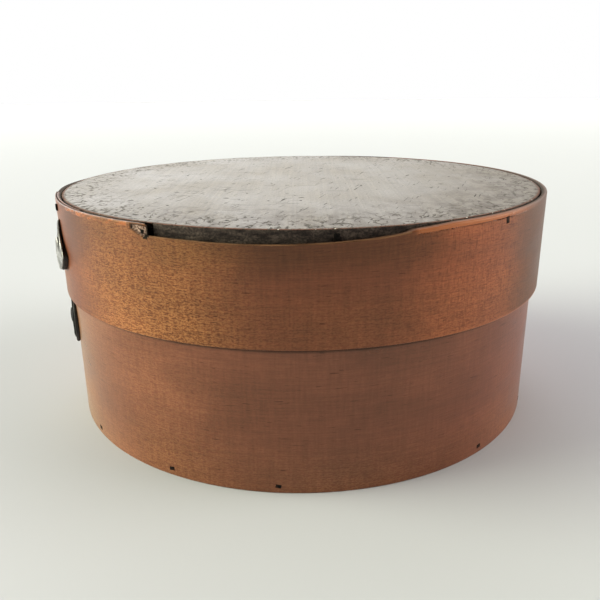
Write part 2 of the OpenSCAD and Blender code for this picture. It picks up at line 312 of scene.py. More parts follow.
def bent_wood(name, tones, roughness, gloss, gloss_tint):
    """Shellacked hardwood on a strip, of dark, middle and light tones: grain along its length, dashes and
    flecks where it is figured, and the marks its mesh carries: wear, dark patches, painted highlights and
    shade."""
    material, tree, shader = new_material(name)
    grain = add_node(tree, "ShaderNodeUVMap", uv_map="grain").outputs[0]
    lines = drawn_noise(tree, grain, (50 * mm, 1.1 * mm, 1), 4.0, 0.4)
    fine = drawn_noise(tree, grain, (9 * mm, 0.5 * mm, 1))
    ripple = drawn_noise(tree, grain, (1.2 * mm, 12 * mm, 1), 2.0, 0.4)
    dashes = drawn_noise(tree, grain, (1.7 * mm, 0.5 * mm, 1), 2.0, 0.5)
    flecks = drawn_noise(tree, grain, (0.8 * mm, 0.5 * mm, 1), 2.0, 0.5)
    checks = drawn_noise(tree, grain, (0.6 * mm, 4 * mm, 1), 2.0, 0.6)
    pores = drawn_noise(tree, grain, (6 * mm, 0.5 * mm, 1), 1.0, 0.3)
    crumbs = drawn_noise(tree, grain, (0.8 * mm, 0.6 * mm, 1))
    patches = drawn_noise(tree, grain, (45 * mm, 22 * mm, 1), 3.0, 0.4)
    tone = number(tree, "MULTIPLY", patches, 0.4)
    for layer, part in ((fine, 0.22), (ripple, 0.2), (lines, 0.18)):
        tone = number(tree, "MULTIPLY_ADD", layer, part, tone)
    dark, middle, light = tones
    wood = ramp(tree, tone, [(0.4, dark), (0.5, middle), (0.6, light)])
    brown, clear = (0.52, 0.37, 0.26), (1, 1, 1)
    streaks = tinted(tree, ramp(tree, dashes, [(0.5, clear), (0.58, brown)]),
                     ramp(tree, flecks, [(0.48, clear), (0.62, brown)]))
    # Painted golden glow: the figured wood is brightened, with its dashes and flecks over it
    golden_glow = tinted(tree, wood, (2.45, 3.6, 2.45, 1))
    wood = mixed(tree, mark(tree, "figure_and_glow"), wood, tinted(tree, golden_glow, streaks))
    checked = tinted(tree, ramp(tree, checks, [(0.54, clear), (0.72, brown)]),
                     ramp(tree, dashes, [(0.55, clear), (0.73, brown)]))
    # Painted amber glow: the crazed wood is brightened, with its checks over it
    amber_glow = tinted(tree, wood, (2.0, 1.9, 1.5, 1))
    wood = mixed(tree, mark(tree, "crazing_and_glow"), wood, tinted(tree, amber_glow, checked))
    wood = tinted(tree, wood, ramp(tree, pores, [(0.69, clear), (0.74, brown)]))
    # Painted shade: the wood is darkened where the mesh marks it
    wood = mixed(tree, mark(tree, "painted_shade"), wood, tinted(tree, wood, (0.56, 0.6, 0.48, 1)))
    # Painted highlight: bright orange and smooth where the mesh marks it, over real rounding of the edge
    rubbed_and_highlit = mark(tree, "rubbed_and_highlit")
    wood = mixed(tree, rubbed_and_highlit, wood, (0.37, 0.115, 0.04, 1))
    # Painted sheen: the wood is turned paler where the mesh marks it
    wood = mixed(tree, mark(tree, "painted_sheen"), wood, tinted(tree, wood, (1.1, 1.45, 1.6, 1)))
    within = ramp(tree, mark(tree, "inside"), [(0.75, 0.0), (0.98, 1.0)])
    dry_tones = [(0.4, (0.2, 0.11, 0.055)), (0.5, (0.33, 0.2, 0.105)), (0.6, (0.42, 0.27, 0.15))]
    wood = mixed(tree, within, wood, ramp(tree, tone, dry_tones))
    bare, flaked, darkening = mark(tree, "bare"), mark(tree, "flaked"), mark(tree, "darkening")
    torn = ramp(tree, fine, [(0.35, (0.06, 0.024, 0.011)), (0.65, (0.22, 0.11, 0.055))])
    wood = mixed(tree, bare, wood, torn)
    split_tones = [(0.36, (0.07, 0.042, 0.035)), (0.5, (0.23, 0.14, 0.11)), (0.62, (0.45, 0.31, 0.25))]
    wood = mixed(tree, flaked, wood, ramp(tree, crumbs, split_tones))
    # Near black where the mesh marks it: partly painted shade, partly dirt
    wood = mixed(tree, darkening, wood, (0.009, 0.006, 0.005, 1))
    tree.links.new(wood, shader.inputs["Base Color"])
    shine = ramp(tree, patches, [(0.3, roughness - 0.05), (0.7, roughness + 0.05)])
    shine = mixed(tree, rubbed_and_highlit, shine, (0.2, 0.2, 0.2, 1))
    dull = within
    for wear in (bare, flaked, darkening):
        dull = number(tree, "MAXIMUM", dull, wear)
    tree.links.new(mixed(tree, dull, shine, (0.9, 0.9, 0.9, 1)), shader.inputs["Roughness"])
    shader.inputs["Specular IOR Level"].default_value = gloss
    shader.inputs["Specular Tint"].default_value = (*gloss_tint, 1)
    relief = number(tree, "MULTIPLY_ADD", flecks, 0.5, fine)
    relief = number(tree, "MULTIPLY_ADD", number(tree, "MULTIPLY", crumbs, flaked), 3.0, relief)
    add_relief(tree, shader, relief, 0.35, 0.15 * mm)
    return material


band_in, band_out, band_low, band_high = round_size("body_band")
band_lap_angle = bearing("body_rivet_cap")[0]
band_height = band_high - band_low
band_len = 2 * math.pi * band_out + lap_len
band_places = spaced(0, (band_len, 1.8 * mm))
band_rows = spaced(
    0, (1 * mm, 1 * mm), (53 * mm, 3 * mm), (57 * mm, 0.5 * mm), (band_height - 1 * mm, 3 * mm),
    (band_height, 1 * mm))
band_mesh = flat_strip(band_places, band_rows, band_out - band_in)
band_figure_and_glow = band_mesh.verts.layers.float["figure_and_glow"]
band_painted_sheen = band_mesh.verts.layers.float["painted_sheen"]
band_shadow_and_dirt_line = band_mesh.verts.layers.float["darkening"]
lid_foot = round_size("lid_rim")[2]

# Figure at the left, the foot and the back, brightened into a painted golden glow at the left and painted
# light from the floor at the foot; a painted pale sheen at the far left; and a dark line under the lid's
# foot that is painted shadow of the rim as well as dirt
for vertex in band_mesh.verts:
    height = band_low + vertex.co.y
    degrees = math.degrees(band_lap_angle + (vertex.co.x - lap_len / 2) / band_out)
    outer = vertex.co.z / (band_out - band_in)
    cloud = 1 + 0.8 * noise.noise(Vector((vertex.co.x * 20, vertex.co.y * 30, 0)))
    left_glow = 0.22 * (1 - share(abs(degrees + 50), 12, 40))
    foot_glow = 0.16 * (1 - share(height, 2 * mm, 25 * mm))
    at_back = 0.3 * share(degrees, 85, 120) * (1 - share(degrees, 240, 275))
    vertex[band_figure_and_glow] = cloud * (0.06 + left_glow + foot_glow + at_back)
    # A painted pale sheen at the far left
    vertex[band_painted_sheen] = 1 - share(abs(degrees + 75), 10, 42)
    # A dark line under the lid's foot: painted shadow of the rim, and dirt
    if outer > 0.5:
        from_line = abs(height - lid_foot + 1 * mm)
        vertex[band_shadow_and_dirt_line] = 0.8 * (1 - share(from_line, 0.2 * mm, 0.8 * mm))
bend_round(band_mesh, band_in, band_out, band_low, band_lap_angle)
body_tones = ((0.113, 0.0345, 0.0182), (0.144, 0.044, 0.0242), (0.185, 0.0585, 0.032))
wall_wood = bent_wood("shellacked_wall", body_tones, 0.32, 0.5, (1, 0.93, 0.77))
body_band = mesh_object("bent_wall", band_mesh, wall_wood)
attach(body_band, "box")
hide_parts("body_band")

# The bottom: a round board of plain, unfinished softwood set inside the foot of the wall and nailed from
# outside. It is flat-sawn, so its grain runs straight across, and it has gone brown with age.


def round_board(node, columns):
    """A round board from its CAD node's size, with eased edges and its columns at given angles."""
    r, low, high = round_size(node)[1:]
    edge = 0.4 * mm
    bm = bmesh.new()
    spans = spaced(0, (r - 8 * mm, 4 * mm), (r - edge, 0.5 * mm))
    turns = (0.4, 0.8, 1.2, math.pi / 2)
    corner = [(r - edge + edge * math.sin(turn), edge - edge * math.cos(turn)) for turn in turns]
    outline = [(span, high) for span in spans] + [(span, high - sink) for span, sink in corner]
    outline += [(r, high - (high - low) * part) for part in (0.25, 0.4, 0.55, 0.7)]
    outline += [(span, low + sink) for span, sink in reversed(corner)]
    outline += [(span, low) for span in reversed(spans)]
    points = [bm.verts.new((0, span, z)) for span, z in outline]
    edges = [bm.edges.new(pair) for pair in zip(points, points[1:])]
    steps = len(columns) - 1
    bmesh.ops.spin(bm, geom=points + edges, axis=(0, 0, 1), cent=(0, 0, 0), angle=2 * math.pi, steps=steps,
                   use_merge=True)
    bmesh.ops.remove_doubles(bm, verts=bm.verts[:], dist=0.001 * mm)
    bmesh.ops.recalc_face_normals(bm, faces=bm.faces[:])
    for vertex in bm.verts:
        span = vertex.co.xy.length
        if span > 0.01 * mm:
            angle = math.atan2(vertex.co.x, -vertex.co.y)
            column = round((angle + math.pi) / (2 * math.pi) * steps) % steps
            vertex.co.x = span * math.sin(columns[column])
            vertex.co.y = -span * math.cos(columns[column])
    return bm


def plain_wood(name):
    """Old unfinished softwood: straight grain along X, darker late wood, stains and a dry, rough face."""
    material, tree, shader = new_material(name)
    place = add_node(tree, "ShaderNodeTexCoord").outputs["Object"]
    rings = drawn_noise(tree, place, (260 * mm, 3.5 * mm, 40 * mm), 3.0, 0.3)
    fibres = drawn_noise(tree, place, (30 * mm, 0.5 * mm, 3 * mm))
    stains = drawn_noise(tree, place, (40 * mm, 35 * mm, 40 * mm), 3.0)
    tone = number(tree, "MULTIPLY_ADD", fibres, 0.35, number(tree, "MULTIPLY", rings, 0.65))
    tones = [(0.36, (0.17, 0.09, 0.045)), (0.5, (0.31, 0.185, 0.095)), (0.64, (0.4, 0.26, 0.14))]
    wood = tinted(tree, ramp(tree, tone, tones), ramp(tree, stains, [(0.35, 0.7), (0.6, 1.0)]))
    tree.links.new(wood, shader.inputs["Base Color"])
    tree.links.new(ramp(tree, stains, [(0.3, 0.62), (0.7, 0.82)]), shader.inputs["Roughness"])
    add_relief(tree, shader, tone, 0.5, 0.25 * mm)
    return material


even_columns = spaced(-math.pi, (math.pi, math.radians(2)))
bottom_mesh = round_board("bottom_board", even_columns)
bottom_board = mesh_object("bottom", bottom_mesh, plain_wood("aged_softwood"))
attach(bottom_board, "box")
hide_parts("bottom_board")

# The bottom's nails: cut iron brads with small oblong heads, driven through the wall's foot into the
# board's edge. They are black with old rust and sit about flush with the wood.


def round_places(node):
    """Angle from the front and outer radius of each of a CAD node's solids, which stand round the box."""
    points = sorted((math.atan2(vertex.co.x, -vertex.co.y), vertex.co.xy.length)
                    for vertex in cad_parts[node].data.vertices)
    groups = [[points[0]]]
    for point in points[1:]:
        if point[0] - groups[-1][-1][0] > math.radians(2):
            groups.append([])
        groups[-1].append(point)
    return [((group[0][0] + group[-1][0]) / 2, max(r for angle, r in group)) for group in groups]


def on_side(angle, r, z):
    """The place on the box's side at an angle from the front: X along the side, Y up, Z straight out."""
    out = Vector((math.sin(angle), -math.cos(angle), 0))
    along = Vector((math.cos(angle), math.sin(angle), 0))
    turn = Matrix((along, (0, 0, 1), out)).transposed()
    return Matrix.Translation(out * r + Vector((0, 0, z))) @ turn.to_4x4()


def add_brad(bm, place, width, height, chance):
    """One cut brad, its head's face at the place's origin: an oblong head on a square, tapering shank."""
    length, head, shank = 14 * mm, 0.8 * mm, 0.6 * mm
    rounding, dent_depth = 0.22 * mm, 0.06 * mm
    spin = Matrix.Rotation(math.radians(chance.uniform(-12, 12)), 4, "Z")
    size = Matrix.Diagonal((width, height, head, 1))
    block = bmesh.ops.create_cube(bm, size=1, matrix=Matrix.Translation((0, 0, -head / 2)) @ size)["verts"]
    edges = list({edge for vertex in block for edge in vertex.link_edges})
    rounded = bmesh.ops.bevel(
        bm, geom=edges, offset=rounding, segments=2, profile=0.5, affect="EDGES", material=-1)
    head_verts = {vertex for face in rounded["faces"] for vertex in face.verts}
    head_verts = sorted(head_verts, key=lambda vertex: [round(part / mm, 3) for part in vertex.co])
    for vertex in head_verts:
        dent = Vector((chance.uniform(-1, 1), chance.uniform(-1, 1), chance.uniform(-1, 0.3)))
        vertex.co += dent * dent_depth
    tip = Matrix.Translation((0, 0, -head * 0.6 - length / 2)) @ Matrix.Rotation(math.pi, 4, "X")
    stem = bmesh.ops.create_cone(
        bm, cap_ends=True, segments=4, radius1=shank, radius2=shank * 0.3, depth=length, matrix=tip)["verts"]
    bmesh.ops.transform(bm, matrix=place @ spin, verts=head_verts + stem)


def black_iron(name):
    """Old black iron: dark scale with brown rust in patches, and a dull, pitted face."""
    material, tree, shader = new_material(name)
    place = add_node(tree, "ShaderNodeTexCoord").outputs["Object"]
    scale = drawn_noise(tree, place, (0.7 * mm, 0.7 * mm, 0.7 * mm), 3.0)
    rust = drawn_noise(tree, place, (2.5 * mm, 2.5 * mm, 2.5 * mm), 3.0)
    iron = ramp(tree, scale, [(0.35, (0.005, 0.004, 0.0035)), (0.7, (0.022, 0.018, 0.016))])
    red = ramp(tree, scale, [(0.35, (0.018, 0.007, 0.004)), (0.7, (0.07, 0.026, 0.012))])
    rusty = ramp(tree, rust, [(0.5, 0.0), (0.68, 0.8)])
    tree.links.new(mixed(tree, rusty, iron, red), shader.inputs["Base Color"])
    tree.links.new(ramp(tree, scale, [(0.3, 0.6), (0.7, 0.85)]), shader.inputs["Roughness"])
    tree.links.new(ramp(tree, rust, [(0.5, 0.6), (0.68, 0.1)]), shader.inputs["Metallic"])
    shader.inputs["Specular IOR Level"].default_value = 0.2
    add_relief(tree, shader, scale, 0.6, 0.1 * mm)
    return material


iron = black_iron("rusted_iron")
chance = random.Random(4)
head_sunk = 0.6 * mm
bottom_nail_z = bearing("bottom_nails")[1]
bottom_nail_mesh = bmesh.new()
for angle, reach in round_places("bottom_nails"):
    place = on_side(angle, reach - head_sunk, bottom_nail_z)
    add_brad(bottom_nail_mesh, place, 2.3 * mm, 1.6 * mm, chance)
bottom_nails = mesh_object("bottom_brads", bottom_nail_mesh, iron)
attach(bottom_nails, "box")
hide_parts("bottom_nails")

# The wall's seam: a row of small iron tacks along the outer end of the lap, and in the middle of the lap a
# rivet that clamps it. The rivet holds a black leather pad and a domed, tinned cap, and is closed inside
# over a small washer.


def add_turned(bm, outline, steps, place, closed=False):
    """A turned piece at a place on the side: an outline of (radius, height out) spun about the place's Z.
    An open outline starts and ends on the axis."""
    points = [bm.verts.new((r, 0, out)) for r, out in outline]
    pairs = list(zip(points, points[1:])) + ([(points[-1], points[0])] if closed else [])
    edges = [bm.edges.new(pair) for pair in pairs]
    before = set(bm.verts) - set(points)
    bmesh.ops.spin(bm, geom=points + edges, axis=(0, 0, 1), cent=(0, 0, 0), angle=2 * math.pi, steps=steps,
                   use_merge=True)
    made = [vertex for vertex in bm.verts if vertex not in before]
    bmesh.ops.remove_doubles(bm, verts=made, dist=0.001 * mm)
    made = [vertex for vertex in bm.verts if vertex not in before]
    faces = list({face for vertex in made for face in vertex.link_faces})
    bmesh.ops.recalc_face_normals(bm, faces=faces)
    bmesh.ops.transform(bm, matrix=place, verts=made)
    return made


def side_size(node, place):
    """Radius, lowest and highest of a CAD node about a place on the side."""
    back = place.inverted()
    points = [back @ vertex.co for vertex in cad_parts[node].data.vertices]
    heights = [point.z for point in points]
    return max(point.xy.length for point in points), min(heights), max(heights)


def tack_row(node, r):
    """Flat-headed tacks in one upright row on a strip's outer radius, at their CAD node's heights."""
    bm = bmesh.new()
    angle = bearing(node)[0]
    heights = sorted({round(vertex.co.z / mm, 3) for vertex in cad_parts[node].data.vertices})
    groups = [[heights[0]]]
    for height in heights[1:]:
        if height - groups[-1][-1] > 3:
            groups.append([])
        groups[-1].append(height)
    for group in groups:
        middle = (group[0] + group[-1]) / 2 * mm
        head = (group[-1] - group[0]) / 2 * mm
        outline = [
            (0, 0.12 * mm), (head * 0.6, 0.08 * mm), (head * 0.92, -0.05 * mm), (head, -0.2 * mm),
            (head * 0.9, -0.4 * mm), (0.5 * mm, -0.45 * mm), (0.45 * mm, -1.6 * mm), (0, -1.9 * mm)
        ]
        add_turned(bm, outline, 14, on_side(angle, r, middle))
    return bm


def tin_plate(name, dark, bright, roughness):
    """Tinned iron gone grey: bright where it has been rubbed, dark in the hollows, spotted with rust."""
    material, tree, shader = new_material(name)
    place = add_node(tree, "ShaderNodeTexCoord").outputs["Object"]
    cloud = drawn_noise(tree, place, (4 * mm, 4 * mm, 4 * mm), 4.0)
    spots = drawn_noise(tree, place, (1.1 * mm, 1.1 * mm, 1.1 * mm), 3.0)
    metal = ramp(tree, cloud, [(0.35, dark), (0.65, bright)])
    stain = ramp(tree, spots, [(0.56, 0.0), (0.66, 0.85)])
    metal = mixed(tree, stain, metal, (0.05, 0.038, 0.03, 1))
    metal = mixed(tree, mark(tree, "tarnish"), metal, tinted(tree, metal, (0.35, 0.33, 0.3, 1)))
    tree.links.new(metal, shader.inputs["Base Color"])
    tree.links.new(ramp(tree, spots, [(0.55, 0.95), (0.66, 0.3)]), shader.inputs["Metallic"])
    shine = ramp(tree, cloud, [(0.3, roughness + 0.08), (0.7, roughness - 0.07)])
    tree.links.new(shine, shader.inputs["Roughness"])
    add_relief(tree, shader, spots, 0.3, 0.1 * mm)
    return material


def black_leather(name):
    """Old black leather: fine pebbled grain, brown where the edge is rubbed."""
    material, tree, shader = new_material(name)
    place = add_node(tree, "ShaderNodeTexCoord").outputs["Object"]
    pebbles = drawn_noise(tree, place, (0.6 * mm, 0.6 * mm, 0.6 * mm), 2.0)
    rub = drawn_noise(tree, place, (3 * mm, 3 * mm, 3 * mm), 3.0)
    hide = ramp(tree, pebbles, [(0.35, (0.006, 0.005, 0.0045)), (0.65, (0.02, 0.017, 0.015))])
    hide = mixed(tree, ramp(tree, rub, [(0.58, 0.0), (0.72, 0.6)]), hide, (0.06, 0.035, 0.022, 1))
    tree.links.new(hide, shader.inputs["Base Color"])
    tree.links.new(ramp(tree, rub, [(0.35, 0.5), (0.65, 0.7)]), shader.inputs["Roughness"])
    add_relief(tree, shader, pebbles, 0.5, 0.12 * mm)
    return material


black_tin = tin_plate("tarnished_tin", (0.008, 0.0075, 0.007), (0.05, 0.047, 0.044), 0.6)
leather = black_leather("pad_leather")


def rivet_set(which, body, r, metal, lifted, drawn_in):
    """One rivet with its leather pad, domed cap and inside washer, sized and placed by its CAD nodes.
    The cap has lifted off the wood at its lower edge by an angle, and the pad has swollen to fill it.
    Pad and cap are drawn in towards their tops, each to a share of its width."""
    angle, z = bearing(which + "_rivet_cap")
    place = on_side(angle, r, z)
    pad_r, pad_high = side_size(which + "_rivet_pad", place)[::2]
    cap_r, cap_low, cap_high = side_size(which + "_rivet_cap", place)
    head_r, tail, head_high = side_size(which + "_rivet", place)
    burr_r, burr_low, burr_high = side_size(which + "_rivet_burr", place)
    hole_r = 1.5 * mm

    pad_mesh = bmesh.new()
    outline = [
        (hole_r, 0), (pad_r * 0.6, 0), (pad_r - 0.3 * mm, 0), (pad_r, 0.35 * mm),
        (pad_r, pad_high - 0.4 * mm), (pad_r - 0.4 * mm, pad_high), (pad_r * 0.6, pad_high),
        (hole_r, pad_high)
    ]
    made = add_turned(pad_mesh, outline, 72, Matrix.Identity(4), closed=True)
    for vertex in made:
        vertex.co.x *= 1 - (1 - drawn_in[0]) * share(vertex.co.y, -0.4 * pad_r, 0.4 * pad_r)
        if vertex.co.z < 0.5 * mm:
            vertex.co.z -= r - math.sqrt(r * r - vertex.co.x ** 2)
        else:
            vertex.co.z -= vertex.co.y * math.tan(lifted)
        edge = share(vertex.co.xy.length, pad_r - 1 * mm, pad_r)
        outward = vertex.co.xy.to_3d().normalized()
        vertex.co += outward * 0.12 * mm * edge * noise.noise(vertex.co * 400)
    bmesh.ops.transform(pad_mesh, matrix=place, verts=pad_mesh.verts[:])
    pad = mesh_object(which + "_pad", pad_mesh, leather)

    dome_low = cap_low + 0.4 * mm
    dome = cap_high - dome_low
    outline = [
        (hole_r, cap_low), (cap_r - 0.3 * mm, cap_low), (cap_r, cap_low + 0.15 * mm), (cap_r, dome_low),
        (cap_r - 0.25 * mm, cap_low + 0.6 * mm), (cap_r - 0.8 * mm, cap_low + 0.55 * mm),
        (cap_r - 1.4 * mm, cap_low + 0.45 * mm)
    ]
    outline += [(cap_r * part, dome_low + dome * (1 - part ** 2)) for part in (0.8, 0.6, 0.45, 0.3)]
    outline += [(hole_r, cap_high)]
    cap_mesh = bmesh.new()
    tarnish = cap_mesh.verts.layers.float.new("tarnish")
    made = add_turned(cap_mesh, outline, 72, Matrix.Identity(4), closed=True)
    for vertex in made:
        vertex[tarnish] = share(vertex.co.y, -0.1 * cap_r, 0.5 * cap_r)
        vertex.co.x *= 1 - (1 - drawn_in[1]) * share(vertex.co.y, -0.4 * cap_r, 0.6 * cap_r)
        if vertex.co.z > cap_low + 0.2 * mm:
            vertex.co.z -= 0.14 * mm * (0.5 + noise.noise(vertex.co * 260))
    seat = place @ Matrix.Translation((0, 0, cap_low)) @ Matrix.Rotation(-lifted, 4, "X")
    seat = seat @ Matrix.Translation((0, 0, -cap_low))
    bmesh.ops.transform(cap_mesh, matrix=seat, verts=cap_mesh.verts[:])
    cap = mesh_object(which + "_cap", cap_mesh, metal)

    head_low = cap_high - 0.05 * mm
    rise = head_high - head_low
    outline = [(0, head_high)]
    outline += [(head_r * math.sin(a), head_low + rise * math.cos(a)) for a in (0.3, 0.6, 0.9, 1.2, 1.45)]
    outline += [
        (head_r * 0.97, head_low), (hole_r * 0.97, head_low), (hole_r * 0.97, burr_low - 0.02 * mm),
        (hole_r * 1.5, burr_low - 0.05 * mm), (hole_r * 1.3, tail), (0, tail)
    ]
    rivet_mesh = bmesh.new()
    add_turned(rivet_mesh, outline, 40, place)
    rivet = mesh_object(which + "_rivet_pin", rivet_mesh, metal)

    outline = [
        (hole_r, burr_low), (burr_r - 0.1 * mm, burr_low), (burr_r, burr_low + 0.1 * mm),
        (burr_r, burr_high - 0.1 * mm), (burr_r - 0.1 * mm, burr_high), (hole_r, burr_high)
    ]
    burr_mesh = bmesh.new()
    add_turned(burr_mesh, outline, 40, place, closed=True)
    burr = mesh_object(which + "_washer", burr_mesh, metal)

    for piece, node, slot in ((pad, "_rivet_pad", "leather"), (cap, "_rivet_cap", "tinned"),
                              (rivet, "_rivet", "tinned"), (burr, "_rivet_burr", "tinned")):
        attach(piece, body)
        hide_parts(which + node)


body_tacks = mesh_object("wall_tacks", tack_row("body_seam_tacks", band_out), iron)
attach(body_tacks, "box")
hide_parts("body_seam_tacks")
rivet_set("body", "box", band_out, black_tin, math.radians(1), (1.0, 0.9))

# The lid's rim: a second bent strip, a slip fit over the wall. Along the front its top edge has broken away
# and bares the board's edge, and beside the left end of the break a three-cornered flake has split off.
rim_in, rim_out, rim_low, rim_high = round_size("lid_rim")
rim_lap_angle = bearing("lid_rivet_cap")[0]
rim_height = rim_high - rim_low
rim_len = 2 * math.pi * rim_out + lap_len
rim_start = rim_lap_angle - lap_len / rim_out / 2


def rim_place(degrees):
    """Distance along the rim's strip of an angle from the front."""
    return (math.radians(degrees) - rim_start) * rim_out


# Angle from the front and depth below the top edge, along the break
break_edge = [
    (-28.1, 0), (-27.95, 3.7), (-21.5, 3.9), (-10, 4.3), (-2, 4.2), (6, 3.7), (13, 3.0),
    (17.6, 2.2), (19.5, 1.7), (20.4, 1.0), (24.4, 0.6), (29, 0)
]
fray_depth = 0.12 * mm


def break_depth(degrees):
    """Depth of the break at an angle, frayed along the fibres."""
    if not break_edge[0][0] < degrees < break_edge[-1][0]:
        return 0.0
    for (left, deep_left), (right, deep_right) in zip(break_edge, break_edge[1:]):
        if degrees <= right:
            depth = deep_left + (deep_right - deep_left) * (degrees - left) / (right - left)
            break
    fray = noise.noise(Vector((degrees * 1.7, 0, 0))) + 0.6 * noise.noise(Vector((degrees * 6, 3, 0)))
    return max(0, depth * mm + fray_depth * fray * min(1, depth))


# The flake's ends and lowest place round from the front, in degrees, then the depths below the top edge of
# its foot at the left, of its foot at the lowest place and of its top, and how deep and rough it is
flake_left, flake_low, flake_right = -31.8, -28.9, -28.05
flake_foot_left, flake_foot, flake_top = 2.1 * mm, 4.5 * mm, 0.5 * mm
flake_sink, flake_rough = 0.75 * mm, 0.3 * mm

# How far down the break draws the strip's rows, how near an edge the outermost rows lie, how many degrees
# further left the break lies on the inside, and the length of one degree round the rim
edge_zone, edge_row = 14 * mm, 0.4 * mm
inside_shift = 1.5
degree_len = 1.83 * mm
rim_thick = rim_out - rim_in

rim_places = spaced(
    0, (rim_place(-33), 1.8 * mm), (rim_place(-26), 0.25 * mm), (rim_place(30), 0.5 * mm),
    (rim_len, 1.8 * mm))
rim_rows = spaced(
    0, (1 * mm, 1 * mm), (rim_height - 6 * mm, 2.5 * mm), (rim_height - 0.6 * mm, 0.3 * mm),
    (rim_height, 0.6 * mm))
rim_mesh = flat_strip(rim_places, rim_rows, rim_thick)
rim_bare, rim_shade_and_darkening, rim_flaked, rim_figure_and_glow, rim_crazing_and_glow, rim_rubbed_and_highlit, rim_painted_shade, rim_painted_sheen = (
    rim_mesh.verts.layers.float[name]
    for name in ("bare", "darkening", "flaked", "figure_and_glow", "crazing_and_glow", "rubbed_and_highlit", "painted_shade", "painted_sheen"))
for vertex in rim_mesh.verts:
    degrees = math.degrees(rim_start + vertex.co.x / rim_out)
    drop = rim_height - vertex.co.y
    outer = vertex.co.z / rim_thick
    depth = break_depth(degrees + inside_shift * (1 - outer))

    # Figure with a painted golden glow, painted shade, a painted pale sheen, crazing with a painted amber
    # glow, and rubbing with painted highlights, by their place round the rim and below its top edge
    cloud = 0.8 + 0.5 * noise.noise(Vector((vertex.co.x * 25, vertex.co.y * 40, 7)))
    low_down = 0.2 * share(drop, 14 * mm, 30 * mm)
    at_back = 0.35 * share(degrees, 85, 120) * (1 - share(degrees, 240, 275))
    # Figure, brightened into a painted golden glow left of the front
    vertex[rim_figure_and_glow] = cloud * (0.1 + low_down + at_back + 0.9 * (1 - share(abs(degrees + 30), 4, 26)))
    # Painted shade: darker at the far left, at the top left, at the far right and under the break
    far_left = 0.7 * share(degrees, -62, -52) * (1 - share(degrees, -56, -38))
    downward = share(drop, 2 * mm, 32 * mm)
    far_left *= 1 - 0.95 * downward
    far_right = share(degrees, 36, 54) * (1 - share(degrees, 80, 110))
    under_break = 0.7 * (1 - share(drop, 5 * mm, 18 * mm)) * (1 - share(abs(degrees + 3), 22, 34))
    top_left = 0.4 * (1 - share(drop, 7 * mm, 14 * mm)) * (1 - share(abs(degrees + 42), 5, 11))
    vertex[rim_painted_shade] = max(far_left, top_left, far_right, under_break)
    # A painted pale sheen at the far left
    from_left = min(abs(degrees + 75), abs(degrees - 285))
    vertex[rim_painted_sheen] = (1 - share(from_left, 8, 20)) * (0.6 + 0.4 * downward)
    # Crazing with a painted amber glow right of the front
    vertex[rim_crazing_and_glow] = cloud * (1 - share(abs(degrees - 35), 4, 22))
    # Painted highlights: on the worn top edge right of the break, along the lower outer edge at the right
    # and on the top edge left of the front
    worn_round = share(degrees, 19, 21) * (1 - share(degrees, 36, 60))
    vertex[rim_rubbed_and_highlit] = 0.85 * worn_round * (1 - share(drop, 0.7 * mm, 2.2 * mm))
    if vertex.co.y < edge_row and outer > 0.5:
        vertex[rim_rubbed_and_highlit] = 0.6 * share(degrees, 10, 40) * (1 - share(degrees, 70, 100))
    if -55 < degrees < -32 and drop < 1.5 * mm:
        rub = noise.noise(Vector((degrees * 1.1, vertex.co.y * 900, 5)))
        vertex[rim_rubbed_and_highlit] = 0.8 * share(rub, -0.1, 0.3)

    # The top edge is worn down on the inside, right of the break and at the back, and its inner part, and
    # all of it at the back, is coloured near black
    sunk = 0.35 * mm * (1 - outer) ** 2 + 0.7 * mm * worn_round * share(outer, 0.3, 1.0) ** 2
    sunk += 0.8 * mm * share(degrees, 150, 200) * (1 - share(degrees, 255, 285))
    if drop < edge_row:
        vertex[rim_shade_and_darkening] = 0.95 * (1 - share(outer, 0.7, 0.85))
        if 150 < degrees < 285:
            vertex[rim_shade_and_darkening] = 0.9

    # The upper rows follow the break down, its torn edge is bare and its left end is painted black as shade
    if depth > 0 and drop < edge_zone:
        if drop < edge_row and depth > 0.4 * mm and degrees < 19:
            vertex[rim_bare] = share(outer, 0.75, 0.95)
        vertex.co.y = rim_height - depth - drop * (edge_zone - depth) / edge_zone
        if degrees < -27.6 and drop < 0.6 * mm:
            vertex[rim_shade_and_darkening] = 1
    if drop < 1.5 * mm:
        vertex.co.y -= sunk
    # Painted shade: the end of the break beside the flake is black
    if -28.4 < degrees < flake_right and flake_top < drop < 4 * mm:
        vertex[rim_shade_and_darkening] = 1

    # The flake is a rough hollow in the outer face, with painted shade along its top and left, and dark at
    # its lower right
    drop = rim_height - vertex.co.y
    if flake_left < degrees < flake_right and outer > 0.5:
        way = min((degrees - flake_left) / (flake_low - flake_left), 1)
        foot = flake_foot_left + (flake_foot - flake_foot_left) * way
        if flake_top < drop < foot:
            margin = min((degrees - flake_left) * degree_len, drop - flake_top)
            fibres = noise.noise(Vector((degrees * 3, vertex.co.y * 1500, 0)))
            vertex.co.z -= flake_sink + flake_rough * fibres
            vertex[rim_flaked] = 1
            vertex[rim_shade_and_darkening] = max(vertex[rim_shade_and_darkening], 0.85 * (1 - share(margin, 0.2 * mm, 0.6 * mm)))
        if 3.4 * mm < drop < 5 * mm and degrees > flake_low:
            vertex[rim_shade_and_darkening] = 1
bend_round(rim_mesh, rim_in, rim_out, rim_low, rim_lap_angle)
rim_tones = ((0.092, 0.0245, 0.0127), (0.128, 0.0348, 0.0177), (0.17, 0.047, 0.0245))
rim_wood = bent_wood("shellacked_rim", rim_tones, 0.42, 0.5, (1, 0.85, 0.63))
lid_rim = mesh_object("bent_rim", rim_mesh, rim_wood)
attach(lid_rim, "lid")
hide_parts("lid_rim")

